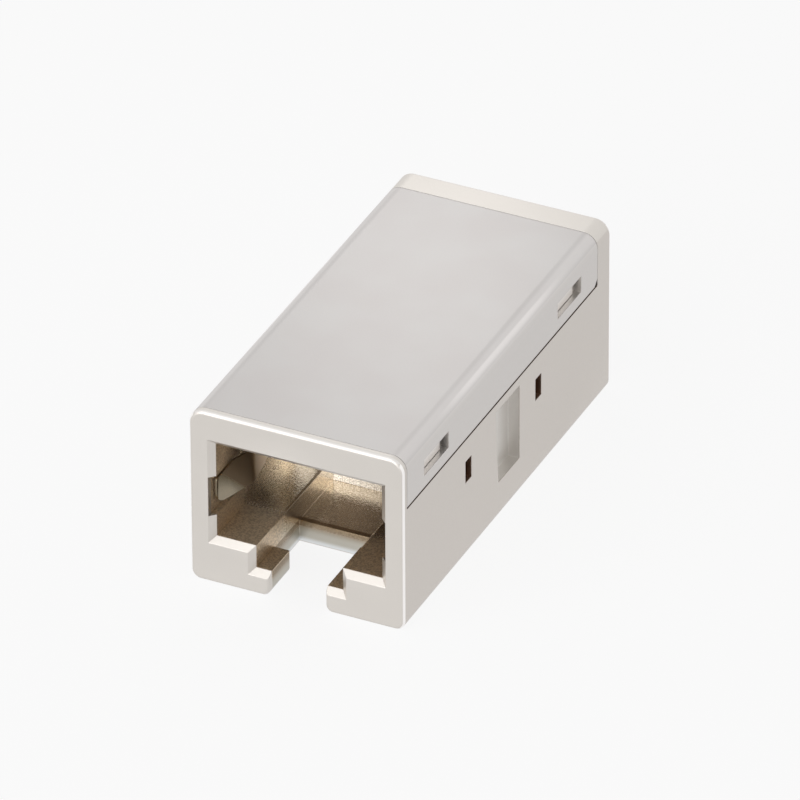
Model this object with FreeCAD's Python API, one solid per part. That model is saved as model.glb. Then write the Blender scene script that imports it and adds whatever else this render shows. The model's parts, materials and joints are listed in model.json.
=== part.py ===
"""RJ45 inline coupler: two plug ports back to back in a nickel-plated die-cast housing.

Frame: the origin is the middle of the underside, X is across the ports, Y runs from the
front port to the rear port, and Z is up. Pieces are drawn with Y measured from the front
face, and are moved to the frame's origin when they are written.
"""
import FreeCAD, Part
import math
import os

from FreeCAD import Vector

# Plug opening, the same at both ends
PLUG_WIDTH = 11.76
PLUG_HEIGHT = 7.05
PLUG_FLOOR = 3.45
PLUG_DEPTH = 12.0
LEAD_IN = 0.43
LATCH_WIDTH = 6.16
SHELF_DROP = 1.67
CHANNEL_DROP = 1.85
FLOOR_EDGE_RADIUS = 0.15
FINGER_GAP = 4.0
FINGER_DEPTH = 3.05
FINGER_TIP_RADIUS = 0.5
LATCH_HOLE_LENGTH = 3.75

# Housing
LENGTH = 32.0
WALL = 1.72
TOP_CORNER_RADIUS = 1.05
BOTTOM_CORNER_RADIUS = 0.7
FACE_EDGE_RADIUS = 0.25
FRONT_FRAME = 0.52
REAR_FRAME = 2.06
BEAM_LEDGE = 0.14

# Cover, and the catches that hold it
COVER_THICKNESS = 1.0
SKIRT_THICKNESS = 0.9
SKIRT_HEIGHT = 3.87
SKIRT_CORNER = 0.45
END_GAP = 0.05
FOOT_GAP = 0.1
WINDOW_LENGTH = 3.72
WINDOW_HEIGHT = 1.25
WINDOW_RAIL = 0.87
WINDOW_INSET = 2.55
LUG_LENGTH = 3.15
LUG_REACH = 0.6
LUG_TOP_REACH = 0.48
LUG_FACE = 0.6

# Shield springs, the grooves that they lie in and the slots for their hooks
GROOVE_RISE = 1.6
GROOVE_HEIGHT = 2.95
GROOVE_DEPTH = 0.41
SPRING_THICKNESS = 0.14
SPRING_RISE = 2.15
SPRING_HEIGHT = 2.6
SPRING_START = 0.75
SPRING_END_HEIGHT = 1.9
SPRING_END_LENGTH = 1.6
SPRING_END_RADIUS = 0.8
SPRING_CORNER = 0.3
SPRING_END_GAP = 0.15
SPRING_END_BEND = 0.6
SPRING_CREST = 4.2
SPRING_CREST_BEND = 1.0
SPRING_REACH = 0.9
SPRING_ROOT_GAP = 0.2
SPRING_ROOT_HEIGHT = 2.0
HOOK_REACH = 1.05
HOOK_RISE = 2.36
HOOK_SLOT_LENGTH = 0.95
HOOK_SLOT_HEIGHT = 1.67
FRONT_HOOK_SETBACK = 2.65
REAR_HOOK_SETBACK = 1.1

# Grip recess in each side of the housing
RECESS_START = 14.04
RECESS_LENGTH = 3.68
RECESS_LEAN = 0.39
RECESS_HEIGHT = 5.65
RECESS_MARGIN = 0.63
RECESS_DEPTH = 0.85

# Cast stops for the nose of a plug
POST_WIDTH = 1.5
POST_HEIGHT = 2.9
SILL_HEIGHT = 0.95
STOP_SETBACK = 0.3

# Contact inserts, board and film
FIT_GAP = 0.1
DECK_THICKNESS = 0.6
BOARD_THICKNESS = 0.6
BOARD_LENGTH = 22.0
BOARD_GAP = 0.25
BOARD_HOLE = 0.66
FILM_THICKNESS = 0.15
FILM_MARGIN = 0.3
FILM_GAP = 0.15
COMB_DEPTH = 1.4
COMB_HEIGHT = 2.3

# Contacts
CONTACT_COUNT = 8
CONTACT_PITCH = 1.02
CONTACT_SIZE = 0.4
CONTACT_GROOVE = 0.56
CONTACT_BEND = 0.44
CONTACT_NOSE = 0.9
CONTACT_ROOT_BEND = 0.3
CONTACT_INSET = 0.45
CONTACT_TIP_REACH = 0.9
CONTACT_FALL = 1.65
CONTACT_ROOT_SETBACK = 1.8
CONTACT_STAGGER = 1.1

# Sizes that follow from these
PLUG_HALF = PLUG_WIDTH / 2
PLUG_TOP = PLUG_FLOOR + PLUG_HEIGHT
LATCH_HALF = LATCH_WIDTH / 2
LATCH_SHELF = PLUG_FLOOR - SHELF_DROP
CHANNEL_FLOOR = PLUG_FLOOR - CHANNEL_DROP
BOARD_UNDERSIDE = PLUG_TOP + DECK_THICKNESS
BOARD_TOP = BOARD_UNDERSIDE + BOARD_THICKNESS
COVER_UNDERSIDE = BOARD_TOP + FILM_THICKNESS + FILM_GAP
HEIGHT = COVER_UNDERSIDE + COVER_THICKNESS
HALF = PLUG_HALF + WALL
MIDDLE = LENGTH / 2
INNER_WALL = HALF - SKIRT_THICKNESS - FIT_GAP
CORE_TOP = COVER_UNDERSIDE - END_GAP
SEAM_HEIGHT = HEIGHT - SKIRT_HEIGHT
SKIRT_FOOT = SEAM_HEIGHT + FOOT_GAP
WINDOW_FLOOR = SKIRT_FOOT + WINDOW_RAIL
COVER_START = FRONT_FRAME + END_GAP
COVER_END = LENGTH - REAR_FRAME - END_GAP
BEAM_DEPTH = max(FRONT_FRAME, REAR_FRAME) + BEAM_LEDGE
GROOVE_WALL = PLUG_HALF + GROOVE_DEPTH
GROOVE_FLOOR = PLUG_FLOOR + GROOVE_RISE
HOOK_SLOT_FLOOR = PLUG_FLOOR + HOOK_RISE
SPRING_FOOT = PLUG_FLOOR + SPRING_RISE
POST_TOP = PLUG_FLOOR + POST_HEIGHT
SILL_TOP = CHANNEL_FLOOR + SILL_HEIGHT
BEYOND = 1.0


def box(low, high):
    """Box between two corners."""
    sides = [b - a for a, b in zip(low, high)]
    return Part.makeBox(*sides, Vector(*low))


def rounded_face(corners, radii, place):
    """Flat face with rounded corners. place turns a corner of the outline into a point."""
    points = [Vector(a, b, 0) for a, b in corners]
    turns = []
    for index, here in enumerate(points):
        back = (points[index - 1] - here).normalize()
        ahead = (points[(index + 1) % len(points)] - here).normalize()
        radius = radii[index]
        if radius == 0:
            turns.append([here])
            continue
        half_angle = back.getAngle(ahead) / 2
        setback = radius / math.tan(half_angle)
        inward = (back + ahead).normalize()
        middle = here + inward * (radius / math.sin(half_angle) - radius)
        turns.append([here + back * setback, middle, here + ahead * setback])
    edges = []
    for index, turn in enumerate(turns):
        placed = [place(point) for point in turn]
        if len(placed) == 3:
            edges.append(Part.Arc(*placed).toShape())
        following = place(turns[(index + 1) % len(turns)][0])
        if placed[-1].distanceToPoint(following) > 1e-6:
            edges.append(Part.LineSegment(placed[-1], following).toShape())
    return Part.Face(Part.Wire(edges))


def across(corners, radii, start, end):
    """Solid with an outline in X and Z, from one depth along Y to another."""
    face = rounded_face(corners, radii, lambda p: Vector(p.x, start, p.y))
    return face.extrude(Vector(0, end - start, 0))


def band(path, radii, thickness):
    """Outline of a strip of even thickness that follows a bent path."""
    points = [Vector(a, b, 0) for a, b in path]
    sides = []
    for side in (1, -1):
        corners = []
        for index, here in enumerate(points):
            into = (here - points[index - 1]).normalize() if index else None
            out = (points[index + 1] - here).normalize() if index + 1 < len(points) else None
            first, last = into or out, out or into
            normal = (Vector(-first.y, first.x, 0) + Vector(-last.y, last.x, 0)).normalize()
            reach = side * thickness / 2 / normal.dot(Vector(-last.y, last.x, 0))
            turn = first.cross(last).z
            bend = radii[index] - side * math.copysign(thickness / 2, turn) if radii[index] else 0
            corners.append(((here.x + normal.x * reach, here.y + normal.y * reach), bend))
        sides.append(corners)
    outline = sides[0] + sides[1][::-1]
    return [corner for corner, bend in outline], [bend for corner, bend in outline]


def to_rear(shape):
    """The same piece at the rear port."""
    return shape.mirror(Vector(0, MIDDLE, 0), Vector(0, 1, 0))


def to_left(shape):
    """The same piece on the other side."""
    return shape.mirror(Vector(0, 0, 0), Vector(1, 0, 0))


def edges_where(shape, test):
    """Edges whose every point passes the test."""
    return [edge for edge in shape.Edges if all(test(p) for p in edge.discretize(5))]


def port_outline(grow):
    """Corners of the plug opening and its latch notch, grown by the lead-in."""
    plug, latch = PLUG_HALF + grow, LATCH_HALF + grow
    right = [
        (FINGER_GAP / 2, LATCH_SHELF - grow),
        (latch, LATCH_SHELF - grow),
        (latch, PLUG_FLOOR - grow),
        (plug, PLUG_FLOOR - grow),
        (plug, PLUG_TOP + grow),
    ]
    return right + [(-x, z) for x, z in reversed(right)]


def lead_in():
    """Sloped mouth of the plug opening, cut back from the front face."""
    rings = [
        [Vector(x, depth, z) for x, z in port_outline(LEAD_IN - depth)]
        for depth in (-LEAD_IN, LEAD_IN)
    ]
    ends = [Part.Face(Part.makePolygon(ring + ring[:1])) for ring in rings]
    slopes = []
    for index in range(len(rings[0])):
        corners = [rings[0][index - 1], rings[0][index], rings[1][index], rings[1][index - 1]]
        slopes.append(Part.Face(Part.makePolygon(corners + corners[:1])))
    return Part.Solid(Part.Shell(ends + slopes))


def finger_slot():
    """Gap between the two latch fingers, open to the underside."""
    gap = FINGER_GAP / 2
    return box((-gap, -BEYOND, -BEYOND), (gap, FINGER_DEPTH, LATCH_SHELF))


def mouth():
    """Everything that is cut from the housing to open one port."""
    corners = port_outline(0)
    opening = across(corners, [0] * len(corners), -BEYOND, FINGER_DEPTH + BEYOND)
    latch_hole = box(
        (-LATCH_HALF, FINGER_DEPTH, -BEYOND),
        (LATCH_HALF, FINGER_DEPTH + LATCH_HOLE_LENGTH, PLUG_FLOOR),
    )
    groove = box(
        (-GROOVE_WALL, -BEYOND, GROOVE_FLOOR),
        (GROOVE_WALL, PLUG_DEPTH, GROOVE_FLOOR + GROOVE_HEIGHT),
    )
    return opening.fuse([lead_in(), latch_hole, groove])


def interior():
    """Space inside the housing, with the latch channel in its floor."""
    start, end = FINGER_DEPTH, LENGTH - FINGER_DEPTH
    corners = [
        (-LATCH_HALF, CHANNEL_FLOOR),
        (LATCH_HALF, CHANNEL_FLOOR),
        (LATCH_HALF, PLUG_FLOOR),
        (PLUG_HALF, PLUG_FLOOR),
        (PLUG_HALF, PLUG_TOP),
        (-PLUG_HALF, PLUG_TOP),
        (-PLUG_HALF, PLUG_FLOOR),
        (-LATCH_HALF, PLUG_FLOOR),
    ]
    radii = [0, 0, FLOOR_EDGE_RADIUS, 0, 0, 0, 0, FLOOR_EDGE_RADIUS]
    tray = box(
        (-PLUG_HALF, BEAM_DEPTH, PLUG_TOP - BEYOND),
        (PLUG_HALF, LENGTH - BEAM_DEPTH, CORE_TOP),
    )
    return across(corners, radii, start, end).fuse(tray)


def plug_stops():
    """Posts and sill at the end of the front port that the nose of a plug meets."""
    post = box((PLUG_HALF - POST_WIDTH, PLUG_DEPTH, PLUG_FLOOR), (PLUG_HALF, MIDDLE, POST_TOP))
    sill = box((-LATCH_HALF, PLUG_DEPTH, CHANNEL_FLOOR), (LATCH_HALF, MIDDLE, SILL_TOP))
    return [post, to_left(post), sill]


def cover_seat():
    """Material that gives way to the cover, outside the housing's inner walls."""
    start, end = FRONT_FRAME, LENGTH - REAR_FRAME
    outside = box((-HALF - BEYOND, start, SEAM_HEIGHT), (HALF + BEYOND, end, HEIGHT + BEYOND))
    core = box((-INNER_WALL, start, 0), (INNER_WALL, end, CORE_TOP))
    return outside.cut(core)


def hook_slot(setback):
    """Slot through the right wall that takes the hook of a shield spring."""
    start = PLUG_DEPTH - setback
    return box(
        (PLUG_HALF, start, HOOK_SLOT_FLOOR),
        (HALF + BEYOND, start + HOOK_SLOT_LENGTH, HOOK_SLOT_FLOOR + HOOK_SLOT_HEIGHT),
    )


def grip_recess():
    """Level recess in the right wall, with a front end that leans back towards its foot."""
    top = SEAM_HEIGHT - RECESS_MARGIN
    low = top - RECESS_HEIGHT
    end = RECESS_START + RECESS_LENGTH
    outline = [(RECESS_START + RECESS_LEAN, low), (end, low), (end, top), (RECESS_START, top)]
    deep = HALF - RECESS_DEPTH
    face = rounded_face(outline, [0] * len(outline), lambda p: Vector(deep, p.x, p.y))
    return face.extrude(Vector(RECESS_DEPTH + BEYOND, 0, 0))


def window_starts():
    """Where each catch window begins along Y."""
    return (COVER_START + WINDOW_INSET, COVER_END - WINDOW_INSET - WINDOW_LENGTH)


def catch_lug(start):
    """Lug on the right inner wall, bevelled above, that holds the cover by its window."""
    low = WINDOW_FLOOR + END_GAP
    high = WINDOW_FLOOR + WINDOW_HEIGHT - END_GAP
    root = INNER_WALL - FIT_GAP
    proud = INNER_WALL + LUG_REACH
    corners = [(root, low), (proud, low), (proud, low + LUG_FACE),
               (INNER_WALL + LUG_TOP_REACH, high), (root, high)]
    front = start + END_GAP
    return across(corners, [0] * len(corners), front, front + LUG_LENGTH)


def housing_body():
    """Die-cast body: floor, side walls and the frames of both ports in one piece."""
    corners = [(-HALF, 0), (HALF, 0), (HALF, HEIGHT), (-HALF, HEIGHT)]
    radii = [BOTTOM_CORNER_RADIUS] * 2 + [TOP_CORNER_RADIUS] * 2
    body = across(corners, radii, 0, LENGTH)
    body = body.cut([finger_slot(), to_rear(finger_slot())])

    def on_finger_tip(point):
        return abs(abs(point.x) - FINGER_GAP / 2) < 0.01 and abs(point.z) < 0.01

    def on_end_face(point):
        at_end = min(abs(point.y), abs(point.y - LENGTH)) < 0.01
        return at_end and (point.z < LATCH_SHELF - 0.01 or abs(point.x) > FINGER_GAP / 2 + 0.01)

    body = body.makeFillet(FINGER_TIP_RADIUS, edges_where(body, on_finger_tip))
    body = body.makeFillet(FACE_EDGE_RADIUS, edges_where(body, on_end_face))
    right = [hook_slot(FRONT_HOOK_SETBACK), to_rear(hook_slot(REAR_HOOK_SETBACK)), grip_recess()]
    cuts = [mouth(), to_rear(mouth()), interior(), cover_seat()]
    body = body.cut(cuts + right + [to_left(cut) for cut in right])
    lugs = [catch_lug(start) for start in window_starts()]
    stops = plug_stops() + [to_rear(stop) for stop in plug_stops()]
    body = body.fuse(lugs + [to_left(lug) for lug in lugs] + stops)
    return body.removeSplitter()


def top_cover():
    """Saddle-shaped cover that closes the top, with a skirt down each side."""
    inside = HALF - SKIRT_THICKNESS
    corners = [(inside, SKIRT_FOOT), (HALF, SKIRT_FOOT), (HALF, HEIGHT), (-HALF, HEIGHT),
               (-HALF, SKIRT_FOOT), (-inside, SKIRT_FOOT), (-inside, COVER_UNDERSIDE),
               (inside, COVER_UNDERSIDE)]
    radii = [0, 0, TOP_CORNER_RADIUS, TOP_CORNER_RADIUS, 0, 0, 0, 0]
    cover = across(corners, radii, COVER_START, COVER_END)
    windows = [
        box((-HALF - BEYOND, start, WINDOW_FLOOR),
            (HALF + BEYOND, start + WINDOW_LENGTH, WINDOW_FLOOR + WINDOW_HEIGHT))
        for start in window_starts()
    ]

    def rear_skirt_corner(point):
        return abs(point.y - COVER_END) < 0.01 and abs(point.z - SKIRT_FOOT) < 0.01

    cover = cover.makeChamfer(SKIRT_CORNER, edges_where(cover, rear_skirt_corner))
    return cover.cut(windows)


def shield_spring(setback):
    """Leaf at the right of the front port: its hook stands in a slot, and it presses on a plug."""
    slot_start = PLUG_DEPTH - setback
    hook = slot_start + HOOK_SLOT_LENGTH / 2
    seat = GROOVE_WALL - SPRING_THICKNESS / 2
    free_end = seat - SPRING_END_GAP
    crest = PLUG_HALF - SPRING_REACH + SPRING_THICKNESS / 2
    root = seat - SPRING_ROOT_GAP
    path = [
        (free_end, SPRING_START),
        (free_end, SPRING_START + SPRING_THICKNESS),
        (crest, SPRING_CREST),
        (root, hook),
        (root + HOOK_REACH, hook),
    ]
    bends = [0, SPRING_END_BEND, SPRING_CREST_BEND, SPRING_THICKNESS, 0]
    corners, radii = band(path, bends, SPRING_THICKNESS)
    face = rounded_face(corners, radii, lambda p: Vector(p.x, p.y, SPRING_FOOT))
    leaf = face.extrude(Vector(0, 0, SPRING_HEIGHT))
    neck = slot_start - SPRING_THICKNESS
    slot_end = slot_start + HOOK_SLOT_LENGTH
    hook_top = HOOK_SLOT_FLOOR + HOOK_SLOT_HEIGHT - FIT_GAP
    high = SPRING_FOOT + SPRING_HEIGHT
    outline = [(SPRING_START, SPRING_FOOT), (neck, SPRING_FOOT), (neck, HOOK_SLOT_FLOOR),
               (slot_end, HOOK_SLOT_FLOOR), (slot_end, hook_top), (neck, hook_top),
               (neck, SPRING_FOOT + SPRING_ROOT_HEIGHT), (SPRING_CREST, high),
               (SPRING_START + SPRING_END_LENGTH, high),
               (SPRING_START, SPRING_FOOT + SPRING_END_HEIGHT)]
    radii = [SPRING_END_RADIUS] + [0] * 6 + [SPRING_END_RADIUS] * 2 + [SPRING_CORNER]
    blank = rounded_face(outline, radii, lambda p: Vector(0, p.x, p.y))
    return leaf.common(blank.extrude(Vector(HALF, 0, 0)))


def contact_positions():
    """X of each contact, and the depth at which its tail enters the board."""
    root = PLUG_DEPTH - CONTACT_ROOT_SETBACK
    for index in range(CONTACT_COUNT):
        x = (index - (CONTACT_COUNT - 1) / 2) * CONTACT_PITCH
        yield x, root + CONTACT_STAGGER * (index % 2)


def contact_insert():
    """Moulded insert of the front port: a grooved deck over the plug and a stop behind it."""
    plug, latch = PLUG_HALF - FIT_GAP, LATCH_HALF - FIT_GAP
    deck = box((-plug, BEAM_DEPTH + FIT_GAP, PLUG_TOP), (plug, MIDDLE, BOARD_UNDERSIDE))
    face = PLUG_DEPTH + STOP_SETBACK
    between_posts = PLUG_HALF - POST_WIDTH - FIT_GAP
    head = box((-plug, face, POST_TOP), (plug, MIDDLE, PLUG_TOP))
    stop = box((-between_posts, face, PLUG_FLOOR), (between_posts, MIDDLE, POST_TOP))
    tongue = box((-latch, face, SILL_TOP), (latch, MIDDLE, PLUG_FLOOR))
    insert = deck.fuse([head, stop, tongue]).removeSplitter()
    cuts = []
    half = CONTACT_GROOVE / 2
    groove_top = PLUG_TOP + CONTACT_SIZE + FIT_GAP / 2
    for x, root in contact_positions():
        left, right = x - half, x + half
        back = root + half
        cuts.append(box((left, 0, PLUG_TOP), (right, back, groove_top)))
        cuts.append(box((left, back - 2 * CONTACT_GROOVE, PLUG_TOP), (right, back, BOARD_UNDERSIDE)))
        cuts.append(box((left, PLUG_DEPTH, PLUG_TOP - COMB_HEIGHT),
                        (right, PLUG_DEPTH + COMB_DEPTH, PLUG_TOP)))
    return insert.cut(cuts)


def contact(x, root):
    """Spring contact of the front port: from the board, round a nose, and down to its tip."""
    run = PLUG_TOP + FIT_GAP / 2 + CONTACT_SIZE / 2
    nose = BEAM_DEPTH + FIT_GAP + CONTACT_INSET
    path = [
        (root, BOARD_TOP),
        (root, run),
        (nose, run),
        (nose, run - CONTACT_NOSE),
        (PLUG_DEPTH + CONTACT_TIP_REACH, PLUG_TOP - CONTACT_FALL),
    ]
    bends = [0, CONTACT_ROOT_BEND, CONTACT_BEND, CONTACT_BEND, 0]
    corners, radii = band(path, bends, CONTACT_SIZE)
    face = rounded_face(corners, radii, lambda p: Vector(x - CONTACT_SIZE / 2, p.x, p.y))
    return face.extrude(Vector(CONTACT_SIZE, 0, 0))


def circuit_board():
    """Board that joins the contacts of the two ports."""
    half = PLUG_HALF - BOARD_GAP
    start = MIDDLE - BOARD_LENGTH / 2
    board = box((-half, start, BOARD_UNDERSIDE), (half, start + BOARD_LENGTH, BOARD_TOP))
    low = BOARD_UNDERSIDE - BEYOND
    holes = [
        Part.makeCylinder(BOARD_HOLE / 2, BOARD_THICKNESS + 2 * BEYOND, Vector(x, root, low))
        for x, root in contact_positions()
    ]
    return board.cut(holes + [to_rear(hole) for hole in holes])


def insulating_film():
    """Film that keeps the board's solder side off the metal cover."""
    half = PLUG_HALF - BOARD_GAP - FILM_MARGIN
    reach = BOARD_LENGTH / 2 - FILM_MARGIN
    low = (-half, MIDDLE - reach, BOARD_TOP)
    return box(low, (half, MIDDLE + reach, BOARD_TOP + FILM_THICKNESS))


def pieces():
    """Every piece of the coupler by name."""
    named = {
        "housing_body": housing_body(),
        "top_cover": top_cover(),
        "front_contact_insert": contact_insert(),
        "rear_contact_insert": to_rear(contact_insert()),
        "circuit_board": circuit_board(),
        "insulating_film": insulating_film(),
    }
    for port, setback in (("front", FRONT_HOOK_SETBACK), ("rear", REAR_HOOK_SETBACK)):
        spring = shield_spring(setback)
        spring = to_rear(spring) if port == "rear" else spring
        named[port + "_right_shield_spring"] = spring
        named[port + "_left_shield_spring"] = to_left(spring)
    for number, (x, root) in enumerate(contact_positions(), start=1):
        named["front_contact_%d" % number] = contact(x, root)
        named["rear_contact_%d" % number] = to_rear(contact(x, root))
    return named


os.makedirs("parts", exist_ok=True)
for name, shape in pieces().items():
    shape.translate(Vector(0, -MIDDLE, 0))
    shape.exportStep("parts/%s.step" % name)
    print(name, shape.isValid(), len(shape.Solids), round(shape.Volume, 3))
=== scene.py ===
"""Looks of the RJ45 inline coupler: finishes, table, lamps and camera.

The frame is the part's own: X across the ports, Y from the front port to the rear port, Z up,
with the origin in the middle of the underside. Blender's lengths are metres. The sizes and
places written here are millimetres unless they say otherwise, and MM turns them into metres.
"""

import json
import math

import bpy
from mathutils import Matrix, Vector


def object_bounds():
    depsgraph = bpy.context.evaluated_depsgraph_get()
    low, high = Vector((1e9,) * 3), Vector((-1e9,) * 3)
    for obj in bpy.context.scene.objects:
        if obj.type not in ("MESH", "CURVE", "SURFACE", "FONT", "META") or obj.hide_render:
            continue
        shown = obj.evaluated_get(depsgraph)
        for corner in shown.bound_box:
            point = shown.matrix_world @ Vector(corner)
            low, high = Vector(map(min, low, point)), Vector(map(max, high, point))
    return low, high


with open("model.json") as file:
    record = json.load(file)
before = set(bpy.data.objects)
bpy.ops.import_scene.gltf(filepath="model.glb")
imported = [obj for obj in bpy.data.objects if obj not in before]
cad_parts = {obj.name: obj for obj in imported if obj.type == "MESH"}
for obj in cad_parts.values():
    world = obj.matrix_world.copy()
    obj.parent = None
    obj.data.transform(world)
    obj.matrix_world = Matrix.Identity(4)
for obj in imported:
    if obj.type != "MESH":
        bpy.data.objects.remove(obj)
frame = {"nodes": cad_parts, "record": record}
cad_low, cad_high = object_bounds()

MM = 0.001
LENGTH = (cad_high.y - cad_low.y) / MM
WHITE = (1, 1, 1, 1)


class Graph:
    """A node tree, with short ways to add and link nodes."""

    def __init__(self, owner, output="OutputMaterial"):
        self.owner = owner
        self.owner.use_nodes = True
        self.tree = owner.node_tree
        self.tree.nodes.clear()
        self.output = self.tree.nodes.new("ShaderNode" + output)

    @classmethod
    def material(cls, name):
        """The node tree of a new material."""
        return cls(bpy.data.materials.new(name))

    def node(self, kind, **settings):
        """A new node. Settings that name a socket fill it, the others set the node itself."""
        made = self.tree.nodes.new("ShaderNode" + kind)
        for key, value in settings.items():
            if hasattr(made, key):
                setattr(made, key, value)
        for key, value in settings.items():
            if not hasattr(made, key):
                self.feed(made, key.replace("_", " "), value)
        return made

    def feed(self, node, socket, value):
        """Links an output to a socket, or writes a plain value into it."""
        if not isinstance(socket, int):
            socket = self.key(node, socket)
        if isinstance(value, bpy.types.NodeSocket):
            self.tree.links.new(value, node.inputs[socket])
        else:
            node.inputs[socket].default_value = value

    @staticmethod
    def key(node, name):
        """The index of the node's socket with that name, whatever its case."""
        names = [socket.name.lower() for socket in node.inputs]
        return names.index(name.lower())

    def math(self, operation, a, b=None, clamp=False):
        """One step of arithmetic."""
        made = self.node("Math", operation=operation, use_clamp=clamp)
        self.feed(made, 0, a)
        if b is not None:
            self.feed(made, 1, b)
        return made.outputs[0]

    def product(self, first, *others):
        """All the values multiplied together."""
        for other in others:
            first = self.math("MULTIPLY", first, other)
        return first

    def ramp(self, value, low, high, to_low=0.0, to_high=1.0):
        """Smooth change from to_low to to_high while the value goes from low to high."""
        made = self.node("MapRange", interpolation_type="SMOOTHSTEP")
        for index, number in enumerate((value, low, high, to_low, to_high)):
            self.feed(made, index, number)
        return made.outputs[0]

    def mix(self, factor, a, b):
        """Blend of two colours."""
        made = self.node("Mix", data_type="RGBA")
        self.feed(made, 0, factor)
        self.feed(made, 6, a)
        self.feed(made, 7, b)
        return made.outputs[2]

    def blend(self, factor, a, b):
        """Blend of two shaders."""
        made = self.node("MixShader", Fac=factor)
        self.feed(made, 1, a.outputs[0])
        self.feed(made, 2, b.outputs[0])
        return made

    def position(self):
        """Place on the object in millimetres, as a vector."""
        place = self.node("TexCoord").outputs["Object"]
        return self.node("VectorMath", operation="SCALE", Vector=place, Scale=1 / MM).outputs[0]

    def noise(self, place, scale, detail=2.0, roughness=0.5):
        """Noise from 0 to 1. The scale is in waves per millimetre."""
        made = self.node("TexNoise", Vector=place, Scale=scale, Detail=detail, Roughness=roughness)
        return made.outputs["Fac"]

    def bump(self, height, strength, distance, normal=None):
        """Bump from a height, over a distance in metres."""
        made = self.node("Bump", Distance=distance, Strength=strength, Height=height)
        if normal is not None:
            self.feed(made, "Normal", normal)
        return made.outputs[0]

    def finish(self, shader):
        """Sends the shader's output to the surface."""
        self.tree.links.new(shader.outputs[0], self.output.inputs["Surface"])
        return self.owner


def srgb(red, green, blue):
    """Colour written as it looks on a screen, from 0 to 255."""
    def linear(value):
        value /= 255
        return value / 12.92 if value <= 0.04045 else ((value + 0.055) / 1.055) ** 2.4
    return (linear(red), linear(green), linear(blue), 1.0)


# Tones of the nickel plate, outside, with painted light and shade on the sides and painted
# highlights and light on the rims, corners, grip recesses and catches
# Painted light and shade: the casting's side is painted darker than its front, and the cover's top
# darker than its side.
CASTING_TONES = (srgb(213, 208, 202), srgb(215, 210, 204))
CASTING_SIDE_PAINTED_SHADE = srgb(206, 200, 194)
COVER_PAINTED_SHADE_TONES = (srgb(194, 190, 188), srgb(196, 193, 191))
COVER_PAINTED_SIDE = srgb(207, 203, 200)
NICKEL_EDGE_HIGHLIGHT = srgb(226, 222, 219)
NICKEL_SIDE_EDGE_HIGHLIGHT = srgb(250, 247, 245)
NICKEL_RECESS_PAINTED_LIGHT = srgb(222, 219, 215)
NICKEL_CATCH_PAINTED_LIGHT = srgb(230, 226, 222)
NICKEL_POCKET_PAINTED_LIGHT = srgb(254, 251, 248)
NICKEL_CORNER_HIGHLIGHT = srgb(226, 222, 220)
NICKEL_SEAM = srgb(96, 80, 70)

# Tones of the nickel plate inside the ports, the latch holes and the hook slots, with painted
# reflection and light in the ports, painted light on the stops, and painted reflection and shade
# in the latch holes
NICKEL_MOUTH_PAINTED_REFLECTION = srgb(228, 207, 178)
NICKEL_INSIDE_PAINTED_LIGHT = srgb(237, 228, 212)
NICKEL_SHADE = srgb(120, 100, 78)
NICKEL_SILL_PAINTED_LIGHT = srgb(246, 240, 230)
NICKEL_POSTS_PAINTED_LIGHT = srgb(255, 252, 246)
NICKEL_HOLE_LOW_PAINTED_REFLECTION = srgb(226, 228, 229)
NICKEL_HOLE_PAINTED_SHADE = srgb(188, 184, 174)
NICKEL_HOLE_HIGH_PAINTED_SHADE = srgb(158, 140, 116)
NICKEL_SLOT = srgb(172, 144, 124)

# Tones of the other materials
STRIP_TONES = (srgb(140, 130, 112), srgb(150, 140, 122))
STRIP_BACK = srgb(138, 122, 102)
NYLON_TONES = (srgb(74, 60, 44), srgb(82, 68, 52))
BOARD_TONES = (srgb(18, 86, 48), srgb(26, 104, 60))
FILM_TONES = (srgb(170, 104, 30), srgb(196, 126, 44))
GOLD_TONES = (srgb(214, 168, 84), srgb(236, 196, 116))

# Surface of the nickel plate. The pairs are for a port's mouth and for its deep end.
PLATE_ROUGH = (0.36, 0.44)
INSIDE_ROUGH = (0.0, -0.22)
STOPS_ROUGH = 0.10
INSIDE_DULL = (0.26, 0.02)
STOPS_DULL = 0.65
SPECKLE = 0.45
GRAIN_BUMP = 0.10
GRAIN_HEIGHT = 0.02
CAST_BUMP = 0.25
CAST_HEIGHT = 0.09
BEVEL = 0.08

# Regions of the castings with a tone of their own, as spans of the distance from the middle
# plane (across), of Y, of Z, and of the depth behind the nearer end face. Where a span has a
# third number, its ends are that soft.
MIDDLE = -1.0
CRISP = 0.01
COVER_SPAN = (-15.46, 13.9)
PORT = {"across": (MIDDLE, 6.33), "z": (1.2, 10.55)}
CORE = {"across": (MIDDLE, 7.3), "z": (0.3, 12.7)}
STOPS = {"depth": (11.9, 12.4), "across": (MIDDLE, 5.85), "z": (1.62, 6.4)}
LATCH_HOLE = {"across": (MIDDLE, 3.3), "z": (0.05, 1.68), "depth": (0.5, 7.2)}
HOOK_SLOTS = {"across": (6.35, 7.57, CRISP), "z": (5.7, 7.6)}
SEAM = {"z": (9.10, 9.26, CRISP), "across": (6.5, 7.7, CRISP), "y": COVER_SPAN}
GRIP_PAINTED_LIGHT = {"y": (-2.9, 3.0), "z": (0.3, 9.3), "across": (6.6, 7.52, CRISP)}
CATCHES_PAINTED_LIGHT = {"z": (9.6, 11.8), "across": (6.3, 7.54, CRISP)}
SLOT_ROWS = ((-6.68, -5.67), (4.12, 5.13))
CATCH_ROWS = ((-13.2, -9.2), (8.0, 12.0))

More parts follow.
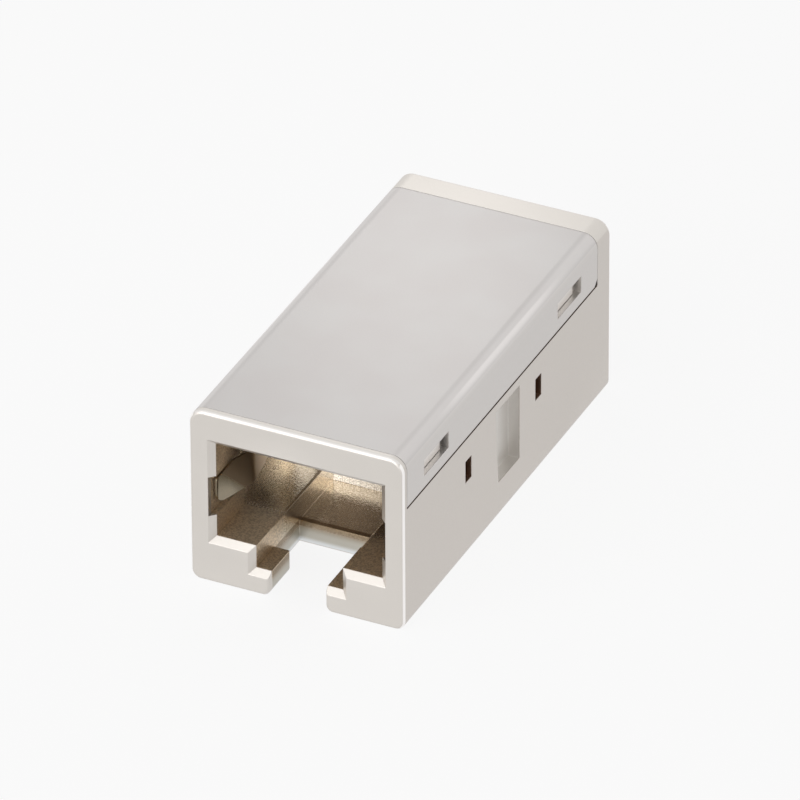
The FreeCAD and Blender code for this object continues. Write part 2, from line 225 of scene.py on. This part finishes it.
# Spans over which one tone or surface passes into another
PAINTED_SIDE_SPAN = (7.5, 8.0)
SIDE_RIM_HIGHLIGHT = (7.3, 8.0)
END_RIM_HIGHLIGHT = (0.05, 0.22)
MOUTH_END = (0.40, 0.48)
MOUTH_TO_DEEP = (2.5, 6.5)
SILL_TO_POSTS = (2.6, 3.4)
HOLE_LOWER_RIM = (0.1, 0.5)
HOLE_UPPER_RIM = (0.7, 1.5)
POCKET_TO_LUG = (7.0, 7.25)
STRIP_BEND = (8.7, 9.1)

# The rounded top corners, painted lighter, and the painted highlight band at their outer edge
CORNER_ACROSS = (6.85, 7.46, 0.16)
CORNER_RISE = (11.6, 11.8)
HIGHLIGHT_BAND_ACROSS = (7.1, 7.25)
HIGHLIGHT_BAND_SPAN = (-8.0, 7.0, 5.0)
CORNER_HIGHLIGHT_LEVELS = (0.42, 1.0)


def between(g, value, low, high, soft=0.02):
    """Mask of 1 where the value lies between two sizes."""
    rise = g.ramp(value, low - soft, low + soft)
    fall = g.ramp(value, high - soft, high + soft, 1.0, 0.0)
    return g.product(rise, fall)


def coordinates(g):
    """The place on the part, and the distances that the regions are given in."""
    place = g.position()
    x, y, z = g.node("SeparateXYZ", Vector=place).outputs
    depth = g.math("SUBTRACT", LENGTH / 2, g.math("ABSOLUTE", y))
    return {"place": place, "across": g.math("ABSOLUTE", x), "y": y, "z": z, "depth": depth}


def region(g, at, spans):
    """Mask of 1 inside a region."""
    return g.product(*[between(g, at[axis], *span) for axis, span in spans.items()])


def rows(g, at, spans):
    """Mask of 1 in the front row and in the rear row of a side."""
    front, rear = [between(g, at["y"], *span) for span in spans]
    return g.math("ADD", front, rear)


def edge_highlight_mask(g, at):
    """Mask of the painted highlight on the rounded rim round each end face."""
    outline = g.math("SUBTRACT", 1.0, region(g, at, CORE))
    return g.product(between(g, at["depth"], *END_RIM_HIGHLIGHT), outline)


def corner_highlight_mask(g, at):
    """Mask of the painted highlight on the rounded top corners, brightest at the outer edge half
    way along the part.
    """
    corner = g.product(
        between(g, at["across"], *CORNER_ACROSS),
        g.ramp(at["z"], *CORNER_RISE),
        between(g, at["y"], *COVER_SPAN),
    )
    band = g.product(g.ramp(at["across"], *HIGHLIGHT_BAND_ACROSS), between(g, at["y"], *HIGHLIGHT_BAND_SPAN))
    return g.product(corner, g.ramp(band, 0.0, 1.0, *CORNER_HIGHLIGHT_LEVELS))


def outer_tone(g, at, tones, painted_side_tone):
    """Colour of the outer faces and the seam, with painted light and shade that set the sides
    apart, painted light in the grip recesses and catches, and painted highlights on the corners
    and rims.
    """
    cloud = g.noise(at["place"], scale=0.22)
    tone = g.mix(g.ramp(cloud, 0.3, 0.7), *tones)
    # Painted light and shade: the side faces take a tone apart from the top and the ends.
    tone = g.mix(between(g, at["across"], *PAINTED_SIDE_SPAN), tone, painted_side_tone)
    # Painted light: the grip recesses are painted lighter than the side round them.
    tone = g.mix(region(g, at, GRIP_PAINTED_LIGHT), tone, NICKEL_RECESS_PAINTED_LIGHT)
    # Painted highlight along the rounded top corners.
    tone = g.mix(corner_highlight_mask(g, at), tone, NICKEL_CORNER_HIGHLIGHT)
    # Painted light in the catches, lightest in the pocket round each lug.
    catch_painted_light = g.mix(g.ramp(at["across"], *POCKET_TO_LUG), NICKEL_POCKET_PAINTED_LIGHT, NICKEL_CATCH_PAINTED_LIGHT)
    catches = g.product(rows(g, at, CATCH_ROWS), region(g, at, CATCHES_PAINTED_LIGHT))
    tone = g.mix(catches, tone, catch_painted_light)
    edge = edge_highlight_mask(g, at)
    # Painted highlight on the rounded rims of the end faces, brightest at their sides.
    tone = g.mix(edge, tone, NICKEL_EDGE_HIGHLIGHT)
    side_edge_highlight = g.product(edge, between(g, at["across"], *SIDE_RIM_HIGHLIGHT))
    tone = g.mix(side_edge_highlight, tone, NICKEL_SIDE_EDGE_HIGHLIGHT)
    return g.mix(region(g, at, SEAM), tone, NICKEL_SEAM)


def inner_tone(g, at, tone, inside, deep, stops):
    """The same colour with those of the ports, the stops, the latch holes and the hook slots, with
    painted reflection and light in the ports, painted light on the stops and painted reflection
    and shade in the latch holes.
    """
    # The as-cast plate inside a port, with a painted reflection of the brown nylon near the mouth
    # and painted light that makes it lighter deep inside.
    tone = g.mix(inside, tone, g.mix(deep, NICKEL_MOUTH_PAINTED_REFLECTION, NICKEL_INSIDE_PAINTED_LIGHT))
    # Painted light: the sill and the posts of the stops are painted near white, the posts
    # lightest.
    tone = g.mix(stops, tone, g.mix(g.ramp(at["z"], *SILL_TO_POSTS), NICKEL_SILL_PAINTED_LIGHT, NICKEL_POSTS_PAINTED_LIGHT))
    # Painted reflection and shade in the latch holes: a bluish-white lower rim painted as the
    # mirrored white table, and a face painted darker and browner towards the top.
    hole_reflection_and_shade = g.mix(g.ramp(at["z"], *HOLE_UPPER_RIM), NICKEL_HOLE_PAINTED_SHADE, NICKEL_HOLE_HIGH_PAINTED_SHADE)
    hole_reflection_and_shade = g.mix(g.ramp(at["z"], *HOLE_LOWER_RIM), NICKEL_HOLE_LOW_PAINTED_REFLECTION, hole_reflection_and_shade)
    tone = g.mix(region(g, at, LATCH_HOLE), tone, hole_reflection_and_shade)
    slots = g.product(region(g, at, HOOK_SLOTS), rows(g, at, SLOT_ROWS))
    tone = g.mix(slots, tone, NICKEL_SLOT)
    speck = g.ramp(g.noise(at["place"], scale=8.0, roughness=0.6), 0.35, 0.65)
    return g.mix(g.product(inside, g.product(speck, SPECKLE)), tone, NICKEL_SHADE)


def plate_roughness(g, grain, inside, deep, stops):
    """Roughness: satin outside, smoother at the deep end of a port, duller on the stops."""
    roughness = g.ramp(grain, 0.2, 0.8, *PLATE_ROUGH)
    worn = g.ramp(deep, 0.0, 1.0, *INSIDE_ROUGH)
    roughness = g.math("ADD", roughness, g.product(inside, worn))
    return g.math("ADD", roughness, g.product(stops, STOPS_ROUGH))


def plate_metal(g, inside, deep, stops):
    """Share of bare metal: all outside, less where the plate inside a port is dull."""
    dull = g.product(inside, g.ramp(deep, 0.0, 1.0, *INSIDE_DULL))
    dull = g.math("ADD", dull, g.product(stops, STOPS_DULL))
    return g.math("SUBTRACT", 1.0, dull)


def plate_normal(g, at, grain, inside):
    """Softened edges, fine grain, and the granular skin inside the ports."""
    rounded = g.node("Bevel", samples=4, Radius=BEVEL * MM)
    fine = g.bump(grain, GRAIN_BUMP, GRAIN_HEIGHT * MM, rounded.outputs[0])
    cast = g.noise(at["place"], scale=4.2, detail=3.0, roughness=0.7)
    return g.bump(cast, g.product(inside, CAST_BUMP), CAST_HEIGHT * MM, fine)


def nickel(name, tones, painted_side_tone):
    """Satin nickel plate: fine grain outside, granular as cast and painted bright inside the
    ports, with painted light, shade, highlights and reflections in its colour.
    """
    g = Graph.material(name)
    at = coordinates(g)
    inside = g.product(region(g, at, PORT), g.ramp(at["depth"], *MOUTH_END))
    deep = g.ramp(at["depth"], *MOUTH_TO_DEEP)
    stops = region(g, at, STOPS)
    grain = g.noise(at["place"], scale=9.0, detail=3.0, roughness=0.6)
    tone = outer_tone(g, at, tones, painted_side_tone)
    shader = g.node("BsdfPrincipled",
                    Base_Color=inner_tone(g, at, tone, inside, deep, stops),
                    Roughness=plate_roughness(g, grain, inside, deep, stops),
                    Metallic=plate_metal(g, inside, deep, stops),
                    Normal=plate_normal(g, at, grain, inside))
    return g.finish(shader)


def spring_strip():
    """Smooth cold-rolled spring strip with faint lengthwise lines, duller behind its bend."""
    g = Graph.material("spring_strip")
    at = coordinates(g)
    drawn = g.node("Mapping", Vector=at["place"], Scale=(1.0, 0.15, 3.0))
    lines = g.noise(drawn.outputs[0], scale=6.0, detail=3.0, roughness=0.6)
    back = g.ramp(g.math("ADD", at["depth"], at["z"]), *STRIP_BEND)
    tone = g.mix(back, g.mix(lines, *STRIP_TONES), STRIP_BACK)
    roughness = g.math("ADD", g.ramp(lines, 0.2, 0.8, 0.10, 0.16), g.product(back, 0.2))
    shader = g.node("BsdfPrincipled", Metallic=1.0, Base_Color=tone, Roughness=roughness,
                    Normal=g.bump(lines, 0.04, 0.01 * MM))
    return g.finish(shader)


def moulded_nylon():
    """Very dark brown moulded nylon with a fine spark-eroded texture."""
    g = Graph.material("moulded_nylon")
    place = g.position()
    texture = g.noise(place, scale=14.0)
    tone = g.mix(g.noise(place, scale=0.5), *NYLON_TONES)
    shader = g.node("BsdfPrincipled", Base_Color=tone,
                    Roughness=g.ramp(texture, 0.2, 0.8, 0.42, 0.55),
                    Normal=g.bump(texture, 0.2, 0.01 * MM))
    return g.finish(shader)


def solder_mask():
    """Green board lacquer, a little uneven over the weave of the glass."""
    g = Graph.material("solder_mask")
    place = g.position()
    weave = g.node("TexWave", Vector=place, Scale=2.2, Distortion=0.6, Detail=1.0)
    tone = g.mix(g.noise(place, scale=1.2), *BOARD_TONES)
    shader = g.node("BsdfPrincipled", Base_Color=tone, Roughness=0.3,
                    Normal=g.bump(weave.outputs["Fac"], 0.06, 0.01 * MM))
    return g.finish(shader)


def polyimide():
    """Amber film with slow ripples."""
    g = Graph.material("polyimide")
    ripple = g.noise(g.position(), scale=0.8)
    shader = g.node("BsdfPrincipled", Base_Color=g.mix(ripple, *FILM_TONES), Roughness=0.25,
                    Normal=g.bump(ripple, 0.15, 0.03 * MM))
    return g.finish(shader)


def gold_flash():
    """Thin gold over drawn bronze wire."""
    g = Graph.material("gold_flash")
    drawn = g.node("Mapping", Vector=g.position(), Scale=(4.0, 0.4, 1.0))
    lines = g.noise(drawn.outputs[0], scale=5.0, roughness=0.6)
    shader = g.node("BsdfPrincipled", Metallic=1.0, Base_Color=g.mix(lines, *GOLD_TONES),
                    Roughness=g.ramp(lines, 0.2, 0.8, 0.18, 0.3))
    return g.finish(shader)


def dress():
    """Gives every piece its finish."""
    finishes = {
        "nickel_casting": nickel("nickel_casting", CASTING_TONES, CASTING_SIDE_PAINTED_SHADE),
        "nickel_cover": nickel("nickel_cover", COVER_PAINTED_SHADE_TONES, COVER_PAINTED_SIDE),
        "insert_plastic": moulded_nylon(),
        "board_laminate": solder_mask(),
        "film": polyimide(),
        "spring_steel": spring_strip(),
        "contact_gold": gold_flash(),
    }
    for part in frame["record"]["subparts"]:
        piece = frame["nodes"][part["node"]]
        piece.data.materials.clear()
        piece.data.materials.append(finishes[part["material_slot"]])


# Table: its half size and how far it lies under the part, its colour for light, and how much
# of plain white the background rays see on it
FLOOR_HALF = 1200
FLOOR_GAP = 0.03
TABLE_COLOUR = (0.92, 0.92, 0.92, 1)
TABLE_WHITE = 0.88

# Strength of the world's even light on the part
FILL = 0.50

# Lamps: directions in degrees, distances and sizes in metres, power in watts, and the point
# on the part that each one faces
PART_CENTRE = (0, 0, 6.5)
SOFTBOXES = {
    "overhead_front": {
        "azimuth": -34, "elevation": 50, "distance": 0.6, "aim": PART_CENTRE,
        "size": (0.36, 0.30), "power": 0.20,
    },
    "front": {
        "azimuth": -16, "elevation": 14, "distance": 0.6, "aim": PART_CENTRE,
        "size": (0.7, 0.4), "power": 1.6,
    },
    "sheen": {
        "azimuth": 205, "elevation": 33, "distance": 0.05, "aim": (0, 2, 13),
        "size": (0.02, 0.02), "power": 0.0007,
    },
}
SNOOT = {"azimuth": 9, "elevation": 15, "distance": 0.4, "aim": (-1.6, -16, 7.2)}
SNOOT_POWER = 8.5
SNOOT_BEAM = 1.03
SNOOT_BLEND = 0.15
SNOOT_RADIUS = 2

# Camera: the direction that it looks from, its roll, its lens and where it looks
AZIMUTH = 25.34
ELEVATION = 32.86
ROLL = -0.285
LENS = 538.5
SENSOR = 36
DISTANCE = 778.6 * MM
TARGET = Vector((-0.11, -0.16, 6.35)) * MM


def background_rays(g):
    """Factor of 1 for the rays that show the background: straight, mirrored or passed on."""
    rays = g.node("LightPath").outputs
    seen = g.math("ADD", rays["Is Camera Ray"], rays["Is Glossy Ray"])
    return g.math("ADD", seen, rays["Is Transmission Ray"], clamp=True)


def studio_floor():
    """Plain white table, a hair under the part so that the two faces never coincide."""
    half, z = FLOOR_HALF * MM, cad_low.z - FLOOR_GAP * MM
    corners = [(-half, -half, z), (half, -half, z), (half, half, z), (-half, half, z)]
    mesh = bpy.data.meshes.new("floor")
    mesh.from_pydata(corners, [], [(0, 1, 2, 3)])
    floor = bpy.data.objects.new("floor", mesh)
    bpy.context.scene.collection.objects.link(floor)
    g = Graph.material("white_table")
    matt = g.node("BsdfDiffuse", Color=TABLE_COLOUR)
    white = g.node("Emission", Color=WHITE, Strength=1.0)
    share = g.product(background_rays(g), TABLE_WHITE)
    mesh.materials.append(g.finish(g.blend(share, matt, white)))


def direction(azimuth, elevation):
    """Unit vector from the part towards a lamp or the camera. The angles are in degrees."""
    a, e = math.radians(azimuth), math.radians(elevation)
    return Vector((math.sin(a) * math.cos(e), -math.cos(a) * math.cos(e), math.sin(e)))


def hang(light, azimuth, elevation, distance, aim):
    """Places a lamp so that it faces a point from a direction."""
    back = direction(azimuth, elevation)
    lamp = bpy.data.objects.new(light.name, light)
    lamp.location = Vector(aim) * MM + back * distance
    lamp.rotation_mode = "QUATERNION"
    lamp.rotation_quaternion = (-back).to_track_quat("-Z", "Y")
    bpy.context.scene.collection.objects.link(lamp)


def softbox(name, size, power, **stand):
    """Rectangular lamp."""
    light = bpy.data.lights.new(name, "AREA")
    light.shape = "RECTANGLE"
    light.size, light.size_y = size
    light.energy = power
    hang(light, **stand)


def snoot():
    """Small lamp with a narrow beam that reaches into the front port."""
    light = bpy.data.lights.new("snoot", "SPOT")
    light.energy = SNOOT_POWER
    light.spot_size = math.radians(SNOOT_BEAM)
    light.spot_blend = SNOOT_BLEND
    light.shadow_soft_size = SNOOT_RADIUS * MM
    hang(light, **SNOOT)


def studio_light():
    """The narrow lamp, the white surroundings that light the part evenly, and the soft lamps."""
    snoot()
    world = bpy.data.worlds.new("studio")
    g = Graph(world, "OutputWorld")
    fill = g.node("Background", Color=WHITE, Strength=FILL)
    backdrop = g.node("Background", Color=WHITE, Strength=1.0)
    g.finish(g.blend(background_rays(g), fill, backdrop))
    bpy.context.scene.world = world
    for name, settings in SOFTBOXES.items():
        softbox(name, **settings)


def studio_camera():
    """Long lens at the angle of the product shot."""
    back = direction(AZIMUTH, ELEVATION)
    lens = bpy.data.cameras.new("camera")
    lens.lens = LENS
    lens.sensor_width = SENSOR
    lens.clip_start, lens.clip_end = 0.05, 10
    camera = bpy.data.objects.new("camera", lens)
    turn = (-back).to_track_quat("-Z", "Y").to_matrix()
    roll = Matrix.Rotation(math.radians(ROLL), 3, "Z")
    camera.matrix_world = Matrix.Translation(TARGET + back * DISTANCE) @ (turn @ roll).to_4x4()
    bpy.context.scene.collection.objects.link(camera)
    bpy.context.scene.camera = camera


dress()
studio_floor()
studio_light()
studio_camera()
bpy.context.scene.view_settings.view_transform = "Standard"
